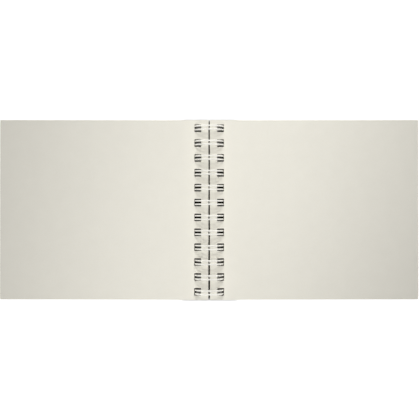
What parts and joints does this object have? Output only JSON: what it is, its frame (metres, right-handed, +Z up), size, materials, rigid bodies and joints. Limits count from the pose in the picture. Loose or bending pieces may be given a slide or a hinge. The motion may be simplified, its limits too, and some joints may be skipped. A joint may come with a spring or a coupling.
{
  "type": "wire-bound sketchbook",
  "caption": "Landscape sketchbook lying open flat, cream drawing paper between flush-cut board covers, bound with a white twin-loop wire whose arches stand over the gutter.",
  "frame": {"origin": "on the table, midway along the spine, under the middle of the gutter", "axes": "+X across the spread to the right-hand page, +Y along the spine to the head of the page, +Z up off the table"},
  "size_m": [0.3576, 0.1534, 0.0222],
  "materials": {
    "drawing_paper": "uncoated cream cartridge paper with a fine tooth",
    "grey_board": "dark grey pressed board, seen at the cut edges",
    "cover_facing": "matt black embossed cover paper",
    "cover_lining": "plain black lining paper",
    "coated_wire": "white nylon coat on round steel wire, satin"
  },
  "bodies": {
    "wire_binding": {"wire_binding": "coated_wire"},
    "front_cover": {"front_cover_board": "grey_board", "front_cover_facing": "cover_facing", "front_cover_lining": "cover_lining"},
    "back_cover": {"back_cover_board": "grey_board", "back_cover_facing": "cover_facing", "back_cover_lining": "cover_lining"},
    "leaf_01": {"leaf_01": "drawing_paper"},
    "leaf_02": {"leaf_02": "drawing_paper"},
    "leaf_03": {"leaf_03": "drawing_paper"},
    "leaf_04": {"leaf_04": "drawing_paper"},
    "leaf_05": {"leaf_05": "drawing_paper"},
    "leaf_06": {"leaf_06": "drawing_paper"},
    "leaf_07": {"leaf_07": "drawing_paper"},
    "leaf_08": {"leaf_08": "drawing_paper"},
    "leaf_09": {"leaf_09": "drawing_paper"},
    "leaf_10": {"leaf_10": "drawing_paper"},
    "leaf_11": {"leaf_11": "drawing_paper"},
    "leaf_12": {"leaf_12": "drawing_paper"},
    "leaf_13": {"leaf_13": "drawing_paper"},
    "leaf_14": {"leaf_14": "drawing_paper"},
    "leaf_15": {"leaf_15": "drawing_paper"},
    "leaf_16": {"leaf_16": "drawing_paper"},
    "leaf_17": {"leaf_17": "drawing_paper"},
    "leaf_18": {"leaf_18": "drawing_paper"},
    "leaf_19": {"leaf_19": "drawing_paper"},
    "leaf_20": {"leaf_20": "drawing_paper"},
    "leaf_21": {"leaf_21": "drawing_paper"},
    "leaf_22": {"leaf_22": "drawing_paper"},
    "leaf_23": {"leaf_23": "drawing_paper"},
    "leaf_24": {"leaf_24": "drawing_paper"},
    "leaf_25": {"leaf_25": "drawing_paper"},
    "leaf_26": {"leaf_26": "drawing_paper"},
    "leaf_27": {"leaf_27": "drawing_paper"},
    "leaf_28": {"leaf_28": "drawing_paper"},
    "leaf_29": {"leaf_29": "drawing_paper"},
    "leaf_30": {"leaf_30": "drawing_paper"},
    "leaf_31": {"leaf_31": "drawing_paper"},
    "leaf_32": {"leaf_32": "drawing_paper"},
    "leaf_33": {"leaf_33": "drawing_paper"},
    "leaf_34": {"leaf_34": "drawing_paper"},
    "leaf_35": {"leaf_35": "drawing_paper"},
    "leaf_36": {"leaf_36": "drawing_paper"},
    "leaf_37": {"leaf_37": "drawing_paper"},
    "leaf_38": {"leaf_38": "drawing_paper"},
    "leaf_39": {"leaf_39": "drawing_paper"},
    "leaf_40": {"leaf_40": "drawing_paper"},
    "leaf_41": {"leaf_41": "drawing_paper"},
    "leaf_42": {"leaf_42": "drawing_paper"},
    "leaf_43": {"leaf_43": "drawing_paper"},
    "leaf_44": {"leaf_44": "drawing_paper"},
    "leaf_45": {"leaf_45": "drawing_paper"},
    "leaf_46": {"leaf_46": "drawing_paper"},
    "leaf_47": {"leaf_47": "drawing_paper"},
    "leaf_48": {"leaf_48": "drawing_paper"},
    "leaf_49": {"leaf_49": "drawing_paper"},
    "leaf_50": {"leaf_50": "drawing_paper"}
  },
  "joints": [
    {"name": "front_cover_turn", "type": "hinge", "parent": "wire_binding", "child": "front_cover", "pos_m": [0, 0, 0.0099], "axis": [0, 1, 0], "range_deg": [0, 181.02]},
    {"name": "back_cover_turn", "type": "hinge", "parent": "wire_binding", "child": "back_cover", "pos_m": [0, 0, 0.0099], "axis": [0, 1, 0], "range_deg": [-181.02, 0]},
    {"name": "leaf_25_turn", "type": "hinge", "parent": "leaf_24", "child": "leaf_25", "pos_m": [0, 0, 0.0099], "axis": [0, 1, 0], "range_deg": [0, 180]},
    {"name": "leaf_26_turn", "type": "hinge", "parent": "leaf_27", "child": "leaf_26", "pos_m": [0, 0, 0.0099], "axis": [0, 1, 0], "range_deg": [-180, 0]},
    {"name": "leaf_24_turn", "type": "hinge", "parent": "leaf_23", "child": "leaf_24", "pos_m": [0, 0, 0.0099], "axis": [0, 1, 0], "range_deg": [0, 180]},
    {"name": "leaf_27_turn", "type": "hinge", "parent": "leaf_28", "child": "leaf_27", "pos_m": [0, 0, 0.0099], "axis": [0, 1, 0], "range_deg": [-180, 0]},
    {"name": "leaf_23_turn", "type": "hinge", "parent": "leaf_22", "child": "leaf_23", "pos_m": [0, 0, 0.0099], "axis": [0, 1, 0], "range_deg": [0, 180]},
    {"name": "leaf_28_turn", "type": "hinge", "parent": "leaf_29", "child": "leaf_28", "pos_m": [0, 0, 0.0099], "axis": [0, 1, 0], "range_deg": [-180, 0]},
    {"name": "leaf_22_turn", "type": "hinge", "parent": "leaf_21", "child": "leaf_22", "pos_m": [0, 0, 0.0099], "axis": [0, 1, 0], "range_deg": [0, 180]},
    {"name": "leaf_29_turn", "type": "hinge", "parent": "leaf_30", "child": "leaf_29", "pos_m": [0, 0, 0.0099], "axis": [0, 1, 0], "range_deg": [-180, 0]},
    {"name": "leaf_21_turn", "type": "hinge", "parent": "leaf_20", "child": "leaf_21", "pos_m": [0, 0, 0.0099], "axis": [0, 1, 0], "range_deg": [0, 180]},
    {"name": "leaf_30_turn", "type": "hinge", "parent": "leaf_31", "child": "leaf_30", "pos_m": [0, 0, 0.0099], "axis": [0, 1, 0], "range_deg": [-180, 0]},
    {"name": "leaf_20_turn", "type": "hinge", "parent": "leaf_19", "child": "leaf_20", "pos_m": [0, 0, 0.0099], "axis": [0, 1, 0], "range_deg": [0, 180]},
    {"name": "leaf_31_turn", "type": "hinge", "parent": "leaf_32", "child": "leaf_31", "pos_m": [0, 0, 0.0099], "axis": [0, 1, 0], "range_deg": [-180, 0]},
    {"name": "leaf_19_turn", "type": "hinge", "parent": "leaf_18", "child": "leaf_19", "pos_m": [0, 0, 0.0099], "axis": [0, 1, 0], "range_deg": [0, 180]},
    {"name": "leaf_32_turn", "type": "hinge", "parent": "leaf_33", "child": "leaf_32", "pos_m": [0, 0, 0.0099], "axis": [0, 1, 0], "range_deg": [-180, 0]},
    {"name": "leaf_18_turn", "type": "hinge", "parent": "leaf_17", "child": "leaf_18", "pos_m": [0, 0, 0.0099], "axis": [0, 1, 0], "range_deg": [0, 180]},
    {"name": "leaf_33_turn", "type": "hinge", "parent": "leaf_34", "child": "leaf_33", "pos_m": [0, 0, 0.0099], "axis": [0, 1, 0], "range_deg": [-180, 0]},
    {"name": "leaf_17_turn", "type": "hinge", "parent": "leaf_16", "child": "leaf_17", "pos_m": [0, 0, 0.0099], "axis": [0, 1, 0], "range_deg": [0, 180]},
    {"name": "leaf_34_turn", "type": "hinge", "parent": "leaf_35", "child": "leaf_34", "pos_m": [0, 0, 0.0099], "axis": [0, 1, 0], "range_deg": [-180, 0]},
    {"name": "leaf_16_turn", "type": "hinge", "parent": "leaf_15", "child": "leaf_16", "pos_m": [0, 0, 0.0099], "axis": [0, 1, 0], "range_deg": [0, 180]},
    {"name": "leaf_35_turn", "type": "hinge", "parent": "leaf_36", "child": "leaf_35", "pos_m": [0, 0, 0.0099], "axis": [0, 1, 0], "range_deg": [-180, 0]},
    {"name": "leaf_15_turn", "type": "hinge", "parent": "leaf_14", "child": "leaf_15", "pos_m": [0, 0, 0.0099], "axis": [0, 1, 0], "range_deg": [0, 180]},
    {"name": "leaf_36_turn", "type": "hinge", "parent": "leaf_37", "child": "leaf_36", "pos_m": [0, 0, 0.0099], "axis": [0, 1, 0], "range_deg": [-180, 0]},
    {"name": "leaf_14_turn", "type": "hinge", "parent": "leaf_13", "child": "leaf_14", "pos_m": [0, 0, 0.0099], "axis": [0, 1, 0], "range_deg": [0, 180]},
    {"name": "leaf_37_turn", "type": "hinge", "parent": "leaf_38", "child": "leaf_37", "pos_m": [0, 0, 0.0099], "axis": [0, 1, 0], "range_deg": [-180, 0]},
    {"name": "leaf_13_turn", "type": "hinge", "parent": "leaf_12", "child": "leaf_13", "pos_m": [0, 0, 0.0099], "axis": [0, 1, 0], "range_deg": [0, 180]},
    {"name": "leaf_38_turn", "type": "hinge", "parent": "leaf_39", "child": "leaf_38", "pos_m": [0, 0, 0.0099], "axis": [0, 1, 0], "range_deg": [-180, 0]},
    {"name": "leaf_12_turn", "type": "hinge", "parent": "leaf_11", "child": "leaf_12", "pos_m": [0, 0, 0.0099], "axis": [0, 1, 0], "range_deg": [0, 180]},
    {"name": "leaf_39_turn", "type": "hinge", "parent": "leaf_40", "child": "leaf_39", "pos_m": [0, 0, 0.0099], "axis": [0, 1, 0], "range_deg": [-180, 0]},
    {"name": "leaf_11_turn", "type": "hinge", "parent": "leaf_10", "child": "leaf_11", "pos_m": [0, 0, 0.0099], "axis": [0, 1, 0], "range_deg": [0, 180]},
    {"name": "leaf_40_turn", "type": "hinge", "parent": "leaf_41", "child": "leaf_40", "pos_m": [0, 0, 0.0099], "axis": [0, 1, 0], "range_deg": [-180, 0]},
    {"name": "leaf_10_turn", "type": "hinge", "parent": "leaf_09", "child": "leaf_10", "pos_m": [0, 0, 0.0099], "axis": [0, 1, 0], "range_deg": [0, 180]},
    {"name": "leaf_41_turn", "type": "hinge", "parent": "leaf_42", "child": "leaf_41", "pos_m": [0, 0, 0.0099], "axis": [0, 1, 0], "range_deg": [-180, 0]},
    {"name": "leaf_09_turn", "type": "hinge", "parent": "leaf_08", "child": "leaf_09", "pos_m": [0, 0, 0.0099], "axis": [0, 1, 0], "range_deg": [0, 180]},
    {"name": "leaf_42_turn", "type": "hinge", "parent": "leaf_43", "child": "leaf_42", "pos_m": [0, 0, 0.0099], "axis": [0, 1, 0], "range_deg": [-180, 0]},
    {"name": "leaf_08_turn", "type": "hinge", "parent": "leaf_07", "child": "leaf_08", "pos_m": [0, 0, 0.0099], "axis": [0, 1, 0], "range_deg": [0, 180]},
    {"name": "leaf_43_turn", "type": "hinge", "parent": "leaf_44", "child": "leaf_43", "pos_m": [0, 0, 0.0099], "axis": [0, 1, 0], "range_deg": [-180, 0]},
    {"name": "leaf_07_turn", "type": "hinge", "parent": "leaf_06", "child": "leaf_07", "pos_m": [0, 0, 0.0099], "axis": [0, 1, 0], "range_deg": [0, 180]},
    {"name": "leaf_44_turn", "type": "hinge", "parent": "leaf_45", "child": "leaf_44", "pos_m": [0, 0, 0.0099], "axis": [0, 1, 0], "range_deg": [-180, 0]},
    {"name": "leaf_06_turn", "type": "hinge", "parent": "leaf_05", "child": "leaf_06", "pos_m": [0, 0, 0.0099], "axis": [0, 1, 0], "range_deg": [0, 180]},
    {"name": "leaf_45_turn", "type": "hinge", "parent": "leaf_46", "child": "leaf_45", "pos_m": [0, 0, 0.0099], "axis": [0, 1, 0], "range_deg": [-180, 0]},
    {"name": "leaf_05_turn", "type": "hinge", "parent": "leaf_04", "child": "leaf_05", "pos_m": [0, 0, 0.0099], "axis": [0, 1, 0], "range_deg": [0, 180]},
    {"name": "leaf_46_turn", "type": "hinge", "parent": "leaf_47", "child": "leaf_46", "pos_m": [0, 0, 0.0099], "axis": [0, 1, 0], "range_deg": [-180, 0]},
    {"name": "leaf_04_turn", "type": "hinge", "parent": "leaf_03", "child": "leaf_04", "pos_m": [0, 0, 0.0099], "axis": [0, 1, 0], "range_deg": [0, 180]},
    {"name": "leaf_47_turn", "type": "hinge", "parent": "leaf_48", "child": "leaf_47", "pos_m": [0, 0, 0.0099], "axis": [0, 1, 0], "range_deg": [-180, 0]},
    {"name": "leaf_03_turn", "type": "hinge", "parent": "leaf_02", "child": "leaf_03", "pos_m": [0, 0, 0.0099], "axis": [0, 1, 0], "range_deg": [0, 180]},
    {"name": "leaf_48_turn", "type": "hinge", "parent": "leaf_49", "child": "leaf_48", "pos_m": [0, 0, 0.0099], "axis": [0, 1, 0], "range_deg": [-180, 0]},
    {"name": "leaf_02_turn", "type": "hinge", "parent": "leaf_01", "child": "leaf_02", "pos_m": [0, 0, 0.0099], "axis": [0, 1, 0], "range_deg": [0, 180]},
    {"name": "leaf_49_turn", "type": "hinge", "parent": "leaf_50", "child": "leaf_49", "pos_m": [0, 0, 0.0099], "axis": [0, 1, 0], "range_deg": [-180, 0]},
    {"name": "leaf_01_turn", "type": "hinge", "parent": "front_cover", "child": "leaf_01", "pos_m": [0, 0, 0.0099], "axis": [0, 1, 0], "range_deg": [0, 180]},
    {"name": "leaf_50_turn", "type": "hinge", "parent": "back_cover", "child": "leaf_50", "pos_m": [0, 0, 0.0099], "axis": [0, 1, 0], "range_deg": [-180, 0]}
  ]
}
